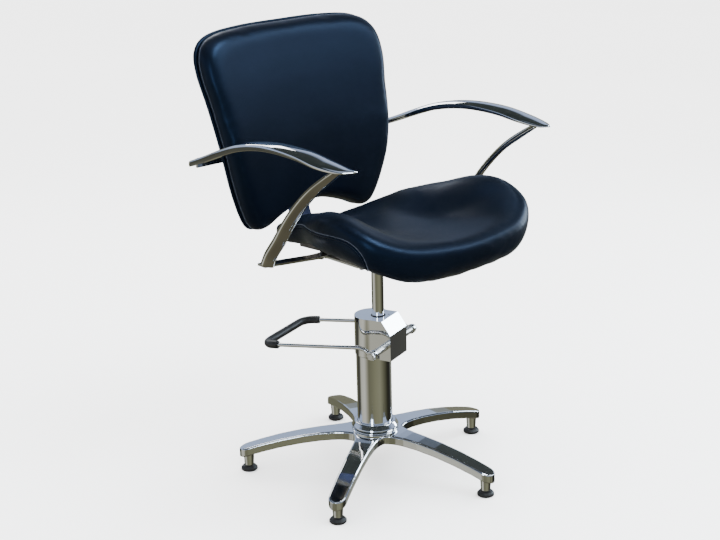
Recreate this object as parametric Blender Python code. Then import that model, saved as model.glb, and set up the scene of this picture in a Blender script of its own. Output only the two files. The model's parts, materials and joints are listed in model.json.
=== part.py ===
"""Salon styling chair: five-leg star base, foot-pumped hydraulic column, swivelling seat with chrome arms.

Metres, +Z up. The origin is on the floor under the middle of the chair. The sitter faces -Y. The seat,
back and arms are modelled about the swivel axis, which is the axis of the piston rod. The pump stands a
little off that axis and is turned about Z, so its pieces are modelled in its own frame: X towards the
pump's box, Y along the pedal's pivot shaft.
"""

import math

import bmesh
import bpy
import numpy as np
from mathutils import Matrix, Vector

GAP = 0.0004  # between pieces that touch
ROUND = 32  # sides of a round piece
SMALL_ROUND = 14  # sides of a small round piece

SWIVEL_AXIS = (0.0, -0.008, 0.0)

# Pump frame
ROD_OFFSET = 0.014  # the rod's axis in the pump's frame
PUMP_TURN = math.radians(-70)
PUMP_PLACE = (-ROD_OFFSET * math.cos(PUMP_TURN), -ROD_OFFSET * math.sin(PUMP_TURN), 0.0)

# Star base
LEGS = 5
FIRST_LEG = math.radians(140)
GLIDE_CIRCLE = 0.300
LEG_END = 0.321
LEG_TIP_HALF = 0.0195
LEG_HALF = 0.0235
LEG_DEPTH = 0.021
HUB_TOP = 0.120
HUB_BOTTOM = 0.0735
HUB_WIDE = 0.0555
LEG_ROOT = 0.052
LEG_DROP = 0.62
LEG_TOP = 0.100
BOSS_RADIUS = 0.0135
GLIDE_RADIUS = 0.0195
GLIDE_HEIGHT = 0.011
STEM_RADIUS = 0.004

# Column
CYLINDER_RADIUS = 0.041
CYLINDER_BORE = 0.0372
CYLINDER_BOTTOM = HUB_BOTTOM + 0.0065
CYLINDER_TOP = 0.2865
BARREL_RADIUS = 0.0215
BARREL_BORE = 0.0190
ROD_RADIUS = 0.014
ROD_BOTTOM = 0.197
ROD_TOP = 0.530
SPIGOT_RADIUS = 0.008
PISTON_RADIUS = 0.0182
PISTON_LOW = 0.211
PISTON_HIGH = 0.229
BOLT_RADIUS = 0.006
BOLT_HEAD = 0.0105
WASHER_RADIUS = 0.016
WASHER_THICK = 0.0025

# Pump head
HEAD_BOTTOM = 0.287
HEAD_TOP = 0.380
HEAD_RADIUS = 0.043
BOX_HALF = 0.0405
BOX_FRONT = 0.066
SLANT_BACK = 0.044
SLANT_LOW = 0.349
SHEET = 0.0018
BLOCK_RADIUS = 0.0365
VALVE_FRONT = 0.060
VALVE_TOP = 0.2995
BUSH_RADIUS = 0.0174
BUSH_LOW = 0.346
BUSH_TOP = 0.3775
WIPER_RADIUS = 0.0168
RUNNING = 0.0002

# Pedal
PIVOT = (0.050, 0.0, 0.320)
SHAFT_RADIUS = 0.006
SHAFT_HALF = 0.1075
PEDAL_HALF = 0.095
PEDAL_ROD = 0.005
PEDAL_REACH = -0.290  # closed end, measured from the pivot
PEDAL_CORNER = 0.028
SLEEVE_RADIUS = 0.010
SLEEVE_START = -0.250
ARM_NOSE = (-0.0125, 0.020, 0.003)
NOSE_RADIUS = 0.004
ROCKER_HUB = 0.0082
PLUNGER_RADIUS = 0.003
PLUNGER_LOW = 0.2955
PLUNGER_SEAT = 0.3145
SPRING_RADIUS = 0.0045
SPRING_WIRE = 0.0005
PEDAL_START_HEIGHT = 0.012
PEDAL_END_HEIGHT = -0.020

# Seat
PLATE_LOW = 0.531
PLATE_HIGH = 0.536
PLATE_HALF = (0.112, 0.080)
PLATE_BOLT = (0.098, 0.060)
SOCKET_LOW = 0.497
SOCKET_RADIUS = 0.026
CLAMP_SCREW = 0.004
SCREW_RADIUS = 0.003
SCREW_HEAD = 0.0062
HEAD_HEIGHT = 0.005
BOARD_SCREW_TIP = 0.544
BOARD_TOP = 0.5485
BOARD_THICK = 0.012
BOARD_REACH = 0.78
SEAT_CENTRE = (0.0, -0.060)
DISH = 0.612

# Back
BACK_CENTRE = (0.0, 0.82)
BACK_THICK = 0.058
BACK_WRAP = 0.012  # how far the sides come forward of the middle
BACK_BOARD_THICK = 0.011
BACK_PANEL_THICK = 0.004
BRACKET_HALF = 0.030
BRACKET_LOW = 0.5325
BAR_THICK = 0.006
BRACKET_BEND = 0.063
BRACKET_Y = 0.278
BRACKET_BOLTS = (0.098, 0.126)

# Arms
ARM_FOOT_Y = 0.046
ARM_FOOT_LOW = 0.5380
ARM_FOOT_HIGH = 0.5440
ARM_FOOT_HALF = 0.014
ARM_FOOT_INNER = 0.110
ARM_FOOT_BEND = 0.145
ARM_FOOT_RISE = 0.014
ARM_PLANE = 0.292
ARM_SCREW_TIP = 0.5605
LUG_HALF = 0.011
ARM_BOLT_X = 0.125
LUG_X = 0.205
LUG_Z = 0.742

# Half of the seat's plan, rear to front: x, y, height of the rim, height of the bottom edge.
SEAT_HALF = (
    (0.000, 0.196, 0.577, 0.549),
    (0.110, 0.192, 0.588, 0.551),
    (0.162, 0.170, 0.604, 0.555),
    (0.178, 0.110, 0.628, 0.564),
    (0.192, 0.045, 0.647, 0.577),
    (0.222, -0.020, 0.666, 0.586),
    (0.249, -0.095, 0.688, 0.592),
    (0.257, -0.170, 0.690, 0.595),
    (0.240, -0.245, 0.668, 0.580),
    (0.180, -0.293, 0.640, 0.556),
    (0.095, -0.315, 0.628, 0.547),
    (0.000, -0.322, 0.624, 0.545),
)

# Half of the back's outline, top to bottom: x, z.
BACK_HALF = (
    (0.000, 1.028),
    (0.120, 1.027),
    (0.213, 1.017),
    (0.256, 0.988),
    (0.266, 0.938),
    (0.258, 0.871),
    (0.250, 0.804),
    (0.238, 0.727),
    (0.225, 0.673),
    (0.203, 0.612),
    (0.181, 0.574),
    (0.153, 0.565),
    (0.108, 0.584),
    (0.052, 0.601),
    (0.000, 0.606),
)

# Rear surface of the back at its sides: z, y.
BACK_LEAN = ((0.56, 0.254), (0.65, 0.249), (0.727, 0.247), (0.80, 0.259), (0.90, 0.287), (1.03, 0.332))

# Arm blade, rear to tip: y, z, x, half width, half thickness.
BLADE = (
    (0.296, 0.7355, 0.288, 0.0070, 0.0065),
    (0.237, 0.7565, 0.288, 0.0085, 0.0070),
    (0.180, 0.7780, 0.289, 0.0105, 0.0075),
    (0.110, 0.8015, 0.290, 0.0140, 0.0080),
    (0.040, 0.8170, 0.291, 0.0190, 0.0085),
    (-0.030, 0.8245, 0.293, 0.0235, 0.0085),
    (-0.110, 0.8240, 0.294, 0.0270, 0.0080),
    (-0.180, 0.8160, 0.294, 0.0275, 0.0065),
    (-0.232, 0.8115, 0.290, 0.0190, 0.0045),
    (-0.262, 0.8135, 0.283, 0.0040, 0.0020),
)

# Arm strut, top to foot: y, z, x, half width, half thickness.
STRUT = (
    (-0.216, 0.8080, 0.290, 0.0090, 0.0040),
    (-0.180, 0.7860, 0.288, 0.0115, 0.0060),
    (-0.133, 0.7540, 0.285, 0.0130, 0.0065),
    (-0.097, 0.7230, 0.285, 0.0135, 0.0070),
    (-0.064, 0.6890, 0.285, 0.0140, 0.0075),
    (-0.036, 0.6550, 0.285, 0.0145, 0.0080),
    (-0.010, 0.6200, 0.285, 0.0150, 0.0090),
    (0.020, 0.5840, 0.285, 0.0150, 0.0095),
    (0.036, 0.5570, 0.285, 0.0150, 0.0095),
)
STRUT_ROLL = math.radians(30)  # its inner edge stands forward of its outer edge


def clear_scene():
    for obj in list(bpy.data.objects):
        bpy.data.objects.remove(obj, do_unlink=True)


def new_material(name, colour, roughness, metallic):
    made = bpy.data.materials.new(name)
    made.use_nodes = True
    shader = made.node_tree.nodes["Principled BSDF"]
    shader.inputs["Base Color"].default_value = (*colour, 1.0)
    shader.inputs["Roughness"].default_value = roughness
    shader.inputs["Metallic"].default_value = metallic
    return made


def new_empty(name, location, parent=None, turn=0.0):
    holder = bpy.data.objects.new(name, None)
    bpy.context.scene.collection.objects.link(holder)
    holder.parent = parent
    holder.location = location
    holder.rotation_euler = (0.0, 0.0, turn)
    return holder


def new_object(name, shape, look, parent, location=(0.0, 0.0, 0.0)):
    """An object made from the bmesh, which is freed, with its faces turned outwards."""
    bmesh.ops.recalc_face_normals(shape, faces=shape.faces)
    mesh = bpy.data.meshes.new(name)
    shape.to_mesh(mesh)
    shape.free()
    mesh.shade_smooth()
    mesh.set_sharp_from_angle(angle=math.radians(35))
    mesh.materials.append(look)
    made = bpy.data.objects.new(name, mesh)
    bpy.context.scene.collection.objects.link(made)
    made.parent = parent
    made.location = location
    return made


def combine(target, shape, operation):
    """A Boolean of the target with a hidden helper made from the bmesh, in the target's own frame."""
    label = f"{target.name}_{operation.lower()}_{len(target.modifiers)}"
    helper = new_object(label, shape, target.data.materials[0], target.parent, target.location)
    helper.hide_render = True
    helper.display_type = "WIRE"
    modifier = target.modifiers.new(label, "BOOLEAN")
    modifier.operation = operation
    modifier.solver = "EXACT"
    modifier.object = helper


def turned(profile, segments=ROUND, centre=(0.0, 0.0)):
    """A (radius, height) outline spun about Z. An edge along the axis is left out, which closes the solid."""
    shape = bmesh.new()
    points = [shape.verts.new((radius, 0.0, height)) for radius, height in profile]
    edges = []
    for first, second in zip(points, points[1:] + points[:1]):
        if first.co.x > 0 or second.co.x > 0:
            edges.append(shape.edges.new((first, second)))
    bmesh.ops.spin(
        shape,
        geom=points + edges,
        cent=(0.0, 0.0, 0.0),
        axis=(0.0, 0.0, 1.0),
        angle=math.tau,
        steps=segments,
        use_merge=True,
    )
    bmesh.ops.remove_doubles(shape, verts=shape.verts, dist=1e-6)
    bmesh.ops.translate(shape, verts=shape.verts, vec=(*centre, 0.0))
    return shape


def ring(inner, outer, low, high, segments=ROUND, centre=(0.0, 0.0)):
    return turned(((inner, low), (outer, low), (outer, high), (inner, high)), segments, centre)


def disc(radius, low, high, segments=ROUND, centre=(0.0, 0.0)):
    return turned(((0.0, low), (radius, low), (radius, high), (0.0, high)), segments, centre)


def along(shape, axis, place=(0.0, 0.0, 0.0)):
    """Turns a shape made along Z to lie along the given axis, then moves it."""
    turn = Vector((0.0, 0.0, 1.0)).rotation_difference(Vector(axis)).to_matrix().to_4x4()
    bmesh.ops.transform(shape, matrix=Matrix.Translation(place) @ turn, verts=shape.verts)
    return shape


def box(low, high):
    size = [b - a for a, b in zip(low, high)]
    centre = [(a + b) / 2 for a, b in zip(low, high)]
    shape = bmesh.new()
    matrix = Matrix.Translation(centre) @ Matrix.Diagonal((*size, 1.0))
    bmesh.ops.create_cube(shape, size=1.0, matrix=matrix)
    return shape


def loft(loops):
    """A closed solid through loops of equally many points, capped at both ends.

    Each square is split along the same diagonal, so that two solids through the same loops don't cross.
    """
    shape = bmesh.new()
    rows = [[shape.verts.new(point) for point in loop] for loop in loops]
    for near, far in zip(rows, rows[1:]):
        for i in range(len(near)):
            j = (i + 1) % len(near)
            shape.faces.new((near[i], near[j], far[j]))
            shape.faces.new((near[i], far[j], far[i]))
    shape.faces.new(rows[0])
    shape.faces.new(rows[-1])
    return shape


def prism(outline, low, high):
    return loft([[(x, y, low) for x, y in outline], [(x, y, high) for x, y in outline]])


def hexagon(radius):
    return [(radius * math.cos(k * math.tau / 6), radius * math.sin(k * math.tau / 6)) for k in range(6)]


def hex_bolt(head_radius, head_low, head_high, shank_radius, shank_end):
    """A hexagon head from head_low to head_high, with its shank running on to shank_end, as one outline."""
    head = hexagon(head_radius)
    shank = [(x * shank_radius / head_radius, y * shank_radius / head_radius) for x, y in head]
    far = head_high if shank_end > head_high else head_low
    near = head_low if shank_end > head_high else head_high
    rows = [(head, near), (head, far), (shank, far), (shank, shank_end)]
    return loft([[(x, y, z) for x, y in outline] for outline, z in rows])


def smooth_row(stations, per_span):
    """Catmull-Rom through the stations: rows of the same columns, per_span rows for each span."""
    rows = np.array(stations, float)
    padded = np.vstack([2 * rows[0] - rows[1], rows, 2 * rows[-1] - rows[-2]])
    out = []
    for k in range(len(rows) - 1):
        a, b, c, d = padded[k : k + 4]
        for step in range(per_span):
            t = step / per_span
            bend = (2 * a - 5 * b + 4 * c - d) * t**2 + (3 * b - a - 3 * c + d) * t**3
            out.append(0.5 * (2 * b + (c - a) * t + bend))
    out.append(rows[-1])
    return np.array(out)


def closed_half(half):
    """The whole closed outline from one half, whose first and last points lie on the mirror plane."""
    mirrored = [(-row[0], *row[1:]) for row in half[1:-1]]
    return np.array(list(half) + mirrored[::-1], float)


def tube(path, radius, segments=10):
    """A round bar along the points. The frame is carried along, so it doesn't twist."""
    points = [Vector(point) for point in path]
    loops = []
    side = Vector((0.0, 0.0, 1.0))
    for k, point in enumerate(points):
        ahead = points[min(k + 1, len(points) - 1)] - points[max(k - 1, 0)]
        ahead.normalize()
        side = (side - side.dot(ahead) * ahead).normalized()
        other = ahead.cross(side)
        angles = [math.tau * step / segments for step in range(segments)]
        loops.append([point + radius * (math.cos(a) * side + math.sin(a) * other) for a in angles])
    return loft(loops)


def ribbon(stations, side, crown, roll=0.0, segments=12, per_span=2):
    """A flattened bar through rows of y, z, x, half width and half thickness, crowned on top and rolled."""
    rows = smooth_row(stations, per_span)
    loops = []
    for k, (y, z, x, half_width, half_thick) in enumerate(rows):
        ahead = rows[min(k + 1, len(rows) - 1)][:2] - rows[max(k - 1, 0)][:2]
        ahead /= np.linalg.norm(ahead)
        normal = np.array((-ahead[1], ahead[0])) * (1 if ahead[0] < 0 else -1)
        normal *= np.sign(normal[1])
        loop = []
        for step in range(segments):
            angle = math.tau * step / segments
            share = math.copysign(abs(math.cos(angle)) ** 0.7, math.cos(angle))
            lift = math.copysign(abs(math.sin(angle)) ** 0.7, math.sin(angle)) * half_thick
            lift += crown * half_thick * (1 - share**2)
            across = share * half_width * math.cos(roll) - lift * math.sin(roll)
            up = share * half_width * math.sin(roll) + lift * math.cos(roll)
            loop.append((side * (x + across), y + normal[0] * up, z + normal[1] * up))
        loops.append(loop)
    return loft(loops)


# --- Star base ---------------------------------------------------------------------------------------


def leg_height(radius):
    return LEG_TOP - LEG_DROP * (radius - LEG_ROOT) ** 2


def leg_half_width(radius):
    """Half the leg's width: flared where it leaves the hub, slightly waisted, round at the tip."""
    flare = (LEG_ROOT * math.tan(math.pi / LEGS) - LEG_HALF) * math.exp(-(radius - LEG_ROOT) / 0.022)
    share = (radius - LEG_ROOT) / (LEG_END - LEG_ROOT)
    width = LEG_HALF + (LEG_TIP_HALF - LEG_HALF) * share + max(flare, 0.0)
    from_centre = radius - (LEG_END - LEG_TIP_HALF)
    if from_centre > 0:
        width = min(width, math.sqrt(max(LEG_TIP_HALF**2 - from_centre**2, 0.0)))
    return max(width, 0.006)


def leg_bar(angle):
    """One leg as a chamfered bar from inside the hub to its round tip, following the curved top."""
    edge = 0.0025
    tips = [LEG_END - LEG_TIP_HALF * (1 - math.sin(k * math.pi / 10)) for k in range(1, 6)]
    radii = [0.035, LEG_ROOT, 0.062, 0.075, 0.095, 0.130, 0.175, 0.225, 0.270, 0.301] + tips
    loops = []
    for radius in radii:
        half = leg_half_width(max(radius, LEG_ROOT))
        top = leg_height(max(radius, LEG_ROOT))
        low = top - LEG_DEPTH
        inner = max(half - edge, 0.002)
        section = (
            (-half, low + edge),
            (-inner, low),
            (inner, low),
            (half, low + edge),
            (half, top - edge),
            (inner, top),
            (-inner, top),
            (-half, top - edge),
        )
        loops.append(
            [
                (
                    radius * math.cos(angle) - across * math.sin(angle),
                    radius * math.sin(angle) + across * math.cos(angle),
                    up,
                )
                for across, up in section
            ]
        )
    return loft(loops)


def make_star_base(look, pump):
    """Legs, hub and glide bosses in one casting, bored for the column and for the glides' stems."""
    hub = turned(
        (
            (0.0, HUB_BOTTOM),
            (0.029, HUB_BOTTOM),
            (0.046, HUB_BOTTOM + 0.004),
            (0.052, HUB_BOTTOM + 0.020),
            (HUB_WIDE, 0.109),
            (0.0480, HUB_TOP),
            (0.0, HUB_TOP),
        ),
        48,
    )
    base = new_object("star_base", hub, look, pump)
    for k in range(LEGS):
        angle = FIRST_LEG - PUMP_TURN + k * math.tau / LEGS
        combine(base, leg_bar(angle), "UNION")
        place = (GLIDE_CIRCLE * math.cos(angle), GLIDE_CIRCLE * math.sin(angle))
        boss_top = leg_height(GLIDE_CIRCLE) - LEG_DEPTH / 2
        boss = turned(((0.0, 0.0115), (0.011, 0.0115), (BOSS_RADIUS, boss_top), (0.0, boss_top)), 20, place)
        combine(base, boss, "UNION")
    for k in range(LEGS):
        angle = FIRST_LEG - PUMP_TURN + k * math.tau / LEGS
        place = (GLIDE_CIRCLE * math.cos(angle), GLIDE_CIRCLE * math.sin(angle))
        combine(base, disc(STEM_RADIUS + GAP, 0.005, 0.030, SMALL_ROUND, place), "DIFFERENCE")
    combine(base, disc(CYLINDER_RADIUS + GAP, HUB_BOTTOM + 0.0055, 0.2, ROUND), "DIFFERENCE")
    combine(base, disc(BOLT_RADIUS + GAP, 0.01, 0.1, SMALL_ROUND), "DIFFERENCE")


def make_glides(look, pump):
    """Black glides with a domed flange and a stem that presses into the boss above."""
    profile = (
        (0.0, 0.0),
        (0.0175, 0.0),
        (GLIDE_RADIUS, 0.002),
        (GLIDE_RADIUS, 0.006),
        (0.0150, GLIDE_HEIGHT),
        (STEM_RADIUS, GLIDE_HEIGHT),
        (STEM_RADIUS, 0.029),
        (0.0, 0.029),
    )
    for k in range(LEGS):
        angle = FIRST_LEG - PUMP_TURN + k * math.tau / LEGS
        place = (GLIDE_CIRCLE * math.cos(angle), GLIDE_CIRCLE * math.sin(angle), 0.0)
        new_object(f"glide_{k + 1}", turned(profile, 20), look, pump, place)


# --- Column ------------------------------------------------------------------------------------------


def make_column(steel, chrome, pump):
    """The outer cylinder with its bottom, the barrel that holds the oil, and the bolt that clamps both."""
    cylinder = turned(
        (
            (0.0, CYLINDER_BOTTOM),
            (CYLINDER_RADIUS - 0.001, CYLINDER_BOTTOM),
            (CYLINDER_RADIUS, CYLINDER_BOTTOM + 0.001),
            (CYLINDER_RADIUS, CYLINDER_TOP),
            (CYLINDER_BORE, CYLINDER_TOP),
            (CYLINDER_BORE, CYLINDER_BOTTOM + 0.010),
            (0.0, CYLINDER_BOTTOM + 0.010),
        )
    )
    outer = new_object("pump_cylinder", cylinder, chrome, pump)
    combine(outer, disc(BOLT_RADIUS + GAP, 0.02, CYLINDER_BOTTOM + 0.007, SMALL_ROUND), "DIFFERENCE")
    barrel_low = CYLINDER_BOTTOM + 0.010 + GAP
    barrel = ring(BARREL_BORE, BARREL_RADIUS, barrel_low, HEAD_BOTTOM, ROUND, (ROD_OFFSET, 0.0))
    new_object("oil_barrel", barrel, steel, pump)
    washer_low = HUB_BOTTOM - WASHER_THICK
    washer = ring(BOLT_RADIUS + GAP, WASHER_RADIUS, washer_low, HUB_BOTTOM - GAP, 24)
    new_object("base_washer", washer, steel, pump)
    head_high = washer_low - GAP
    bolt = hex_bolt(BOLT_HEAD, head_high - 0.0065, head_high, BOLT_RADIUS, CYLINDER_BOTTOM + 0.0065)
    new_object("base_bolt", bolt, steel, pump)


def make_piston(steel, rubber, lift):
    """The piston and its cup seal, which the rod's lower end turns in."""
    piston = ring(SPIGOT_RADIUS + GAP, PISTON_RADIUS, PISTON_LOW, PISTON_HIGH - GAP)
    new_object("piston", piston, steel, lift)
    seal = ring(SPIGOT_RADIUS + GAP, PISTON_RADIUS + 0.0003, PISTON_LOW - 0.0042, PISTON_LOW - GAP)
    new_object("piston_seal", seal, rubber, lift)


def make_rod(chrome, steel, swivel):
    """The chrome rod with a spigot below for the piston, and the clip that keeps the piston on it."""
    rod = turned(
        (
            (0.0, ROD_BOTTOM),
            (SPIGOT_RADIUS, ROD_BOTTOM),
            (SPIGOT_RADIUS, PISTON_HIGH),
            (ROD_RADIUS, PISTON_HIGH),
            (ROD_RADIUS, ROD_TOP - 0.001),
            (ROD_RADIUS - 0.001, ROD_TOP),
            (0.0, ROD_TOP),
        )
    )
    new_object("piston_rod", rod, chrome, swivel)
    clip_high = PISTON_LOW - 0.0042 - GAP
    new_object("rod_clip", ring(SPIGOT_RADIUS + GAP, 0.0135, clip_high - 0.003, clip_high, 24), steel, swivel)


# --- Pump head ---------------------------------------------------------------------------------------


def head_outline(radius, half, front):
    """Plan of the head: round at the back, with straight sides running forward to a flat front."""
    start = math.asin(half / radius)
    turns = [start + k * (math.tau - 2 * start) / 20 for k in range(21)]
    arc = [(radius * math.cos(a), radius * math.sin(a)) for a in turns]
    return [(front, half)] + arc + [(front, -half)]


def head_solid(outset, low, top):
    """The head's body, shrunk by outset: straight up to the slope, then sloping back to the top plate."""
    radius = HEAD_RADIUS - outset
    half = BOX_HALF - outset
    lower = head_outline(radius, half, BOX_FRONT - outset)
    upper = head_outline(radius, half, SLANT_BACK - outset * 0.7)
    rows = ((lower, low), (lower, SLANT_LOW - outset * 0.7), (upper, top))
    return loft([[(x, y, z) for x, y in outline] for outline, z in rows])


def make_valve_block(cast, pump):
    """The cast block on the cylinder, bored for the rod, its bush and the pump's plunger."""
    rod_centre = (ROD_OFFSET, 0.0)
    plunger_centre = (PIVOT[0] + ARM_NOSE[0], ARM_NOSE[1])
    block = new_object("valve_block", disc(BLOCK_RADIUS, HEAD_BOTTOM + GAP, BUSH_TOP), cast, pump)
    combine(block, box((0.0, -0.034, HEAD_BOTTOM + GAP), (VALVE_FRONT, 0.034, VALVE_TOP)), "UNION")
    combine(block, disc(ROD_RADIUS + 0.0008, 0.28, 0.39, ROUND, rod_centre), "DIFFERENCE")
    combine(block, disc(BUSH_RADIUS + GAP, BUSH_LOW, 0.39, ROUND, rod_centre), "DIFFERENCE")
    combine(block, disc(PLUNGER_RADIUS + GAP, 0.2885, 0.31, SMALL_ROUND, plunger_centre), "DIFFERENCE")
    combine(block, disc(SPRING_RADIUS + 0.002, VALVE_TOP, 0.345, 20, plunger_centre), "DIFFERENCE")


def make_head_cover(chrome, pump):
    """The bent sheet cover: open below, with a hole for the rod and a slot at each side for the shaft."""
    cover = new_object("head_cover", head_solid(0.0, HEAD_BOTTOM, HEAD_TOP), chrome, pump)
    combine(cover, head_solid(SHEET, 0.27, HEAD_TOP - SHEET), "DIFFERENCE")
    combine(cover, disc(WIPER_RADIUS + GAP, 0.37, 0.39, ROUND, (ROD_OFFSET, 0.0)), "DIFFERENCE")
    combine(cover, disc(0.0022, 0.37, 0.39, SMALL_ROUND, (0.0345, 0.0135)), "DIFFERENCE")
    slot = disc(SHAFT_RADIUS + 0.0015, -0.06, 0.06, 20)
    combine(cover, along(slot, (0.0, 1.0, 0.0), PIVOT), "DIFFERENCE")
    for side in (-1, 1):
        low = (PIVOT[0] - 0.0235, min(side * 0.03, side * 0.05), HEAD_BOTTOM - 0.001)
        high = (PIVOT[0] - 0.0125, max(side * 0.03, side * 0.05), PIVOT[2] - 0.006)
        combine(cover, box(low, high), "DIFFERENCE")


def make_guides(rubber, bronze, pump):
    """The bronze bush that guides the rod, and the wiper that keeps hair off it."""
    rod_centre = (ROD_OFFSET, 0.0)
    bush = ring(ROD_RADIUS + RUNNING, BUSH_RADIUS, BUSH_LOW + GAP, BUSH_TOP - GAP, ROUND, rod_centre)
    new_object("guide_bush", bush, bronze, pump)
    wiper_low = BUSH_TOP + GAP
    wiper = turned(
        (
            (ROD_RADIUS + RUNNING, wiper_low),
            (WIPER_RADIUS, wiper_low),
            (WIPER_RADIUS, HEAD_TOP + 0.0008),
            (ROD_RADIUS + RUNNING, HEAD_TOP + 0.0022),
        ),
        ROUND,
        rod_centre,
    )
    new_object("rod_wiper", wiper, rubber, pump)


# --- Pedal and plunger: modelled about the pivot, in the pump's frame --------------------------------


def pedal_path():
    """Half of the U-bar, from its eye to the middle of the closed end, as points about the pivot."""
    straight = -0.034
    fall = (PEDAL_END_HEIGHT - PEDAL_START_HEIGHT) / (PEDAL_REACH - straight)
    points = [(0.0, PEDAL_HALF, 0.0), (-0.012, PEDAL_HALF, 0.004), (-0.022, PEDAL_HALF, 0.0095)]
    for x in (straight, -0.10, -0.17, SLEEVE_START):
        points.append((x, PEDAL_HALF, PEDAL_START_HEIGHT + fall * (x - straight)))
    for k in range(1, 6):
        angle = k * math.pi / 10
        x = PEDAL_REACH + PEDAL_CORNER * (1 - math.sin(angle))
        y = PEDAL_HALF - PEDAL_CORNER * (1 - math.cos(angle))
        points.append((x, y, PEDAL_START_HEIGHT + fall * (x - straight)))
    return points


def mirrored_path(half):
    return half + [(x, -y, z) for x, y, z in reversed(half)]


def make_pedal(chrome, steel, rubber, pedal):
    """The bent bar with an eye at each end, its rubber sleeve, and the shaft, rocker, spacers and nuts."""
    half = pedal_path()
    bar = new_object("pedal_bar", tube(mirrored_path(half), PEDAL_ROD), chrome, pedal)
    for side in (-1, 1):
        eye = along(disc(0.0115, -0.0045, 0.0045, 20), (0.0, 1.0, 0.0), (0.0, side * PEDAL_HALF, 0.0))
        combine(bar, eye, "UNION")
    combine(bar, along(disc(SHAFT_RADIUS + GAP, -0.12, 0.12, 20), (0.0, 1.0, 0.0)), "DIFFERENCE")

    covered = mirrored_path([point for point in half if point[0] <= SLEEVE_START])
    sleeve = new_object("pedal_sleeve", tube(covered, SLEEVE_RADIUS), rubber, pedal)
    combine(sleeve, tube(mirrored_path(half[5:]), PEDAL_ROD + GAP), "DIFFERENCE")

    shaft = along(disc(SHAFT_RADIUS, -SHAFT_HALF, SHAFT_HALF, 20), (0.0, 1.0, 0.0))
    new_object("pivot_shaft", shaft, steel, pedal)
    make_rocker(steel, pedal)
    for side, name in ((-1, "right"), (1, "left")):
        place = (0.0, side * (BOX_HALF + 0.0008), 0.0)
        spacer = ring(SHAFT_RADIUS + GAP, 0.0085, 0.0, PEDAL_HALF - 0.0052 - BOX_HALF - 0.0008, 20)
        new_object(f"pivot_spacer_{name}", along(spacer, (0.0, side, 0.0), place), steel, pedal)
        place = (0.0, side * (PEDAL_HALF + 0.0052), 0.0)
        nut = prism(hexagon(0.0098), 0.0, 0.0062)
        made = new_object(f"pivot_nut_{name}", along(nut, (0.0, side, 0.0), place), steel, pedal)
        combine(made, along(disc(SHAFT_RADIUS + GAP, -0.12, 0.12, 20), (0.0, 1.0, 0.0)), "DIFFERENCE")


def make_rocker(steel, pedal):
    """The lever clamped on the shaft, whose round nose presses the plunger down."""
    x, y, z = ARM_NOSE
    hub = ring(SHAFT_RADIUS + GAP, ROCKER_HUB, -0.008, 0.008, 20)
    rocker = new_object("rocker", along(hub, (0.0, 1.0, 0.0), (0.0, y, 0.0)), steel, pedal)
    lean = math.atan2(z, -x)
    reach = math.hypot(x, z)
    arm = box((-reach, -0.004, -NOSE_RADIUS * 0.8), (-0.0075, 0.004, NOSE_RADIUS * 0.8))
    turn = Matrix.Translation((0.0, y, 0.0)) @ Matrix.Rotation(lean, 4, "Y")
    bmesh.ops.transform(arm, matrix=turn, verts=arm.verts)
    combine(rocker, arm, "UNION")
    combine(rocker, along(disc(NOSE_RADIUS, -0.004, 0.004, 20), (0.0, 1.0, 0.0), ARM_NOSE), "UNION")


def make_plunger(steel, plunger):
    """The plunger with the collar its spring lifts, and the spring, modelled about the plunger's axis."""
    top = PIVOT[2] + ARM_NOSE[2] - NOSE_RADIUS - GAP
    body = turned(
        (
            (0.0, PLUNGER_LOW),
            (PLUNGER_RADIUS, PLUNGER_LOW),
            (PLUNGER_RADIUS, PLUNGER_SEAT),
            (SPRING_RADIUS, PLUNGER_SEAT),
            (SPRING_RADIUS, PLUNGER_SEAT + 0.002),
            (PLUNGER_RADIUS, PLUNGER_SEAT + 0.002),
            (PLUNGER_RADIUS, top),
            (0.0, top),
        ),
        SMALL_ROUND,
    )
    new_object("plunger", body, steel, plunger)
    turns, steps_per_turn = 5, 8
    low = VALVE_TOP + SPRING_WIRE + GAP
    rise = PLUNGER_SEAT - SPRING_WIRE - GAP - low
    coil_radius = SPRING_RADIUS - SPRING_WIRE
    path = []
    for k in range(turns * steps_per_turn + 1):
        angle = math.tau * k / steps_per_turn
        height = low + rise * k / (turns * steps_per_turn)
        path.append((coil_radius * math.cos(angle), coil_radius * math.sin(angle), height))
    new_object("plunger_spring", tube(path, SPRING_WIRE, 5), steel, plunger)


# --- Seat --------------------------------------------------------------------------------------------


def seat_rings(row_heights):
    """Loops of the seat's plan at growing shares of its size, with heights from row_heights(share, row)."""
    outline = closed_half(SEAT_HALF)
    centre = np.array(SEAT_CENTRE)
    loops = []
    for share, height in row_heights:
        loop = []
        for row in outline:
            plan = centre + (row[:2] - centre) * share
            loop.append((plan[0], plan[1], height(share, row)))
        loops.append(loop)
    return loft(loops)


def board_height(share, row):
    """The board's top: flat in the middle and turned up towards the cushion's bottom edge."""
    return BOARD_TOP + (row[3] + 0.004 - BOARD_TOP) * (share / BOARD_REACH) ** 4


def cushion_height(share, row):
    """The dished top: level in the middle, rising to the rim."""
    rise = min(max((share - 0.25) / 0.63, 0.0), 1.0)
    return DISH + (row[2] - DISH) * rise * rise * (3 - 2 * rise)


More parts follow.
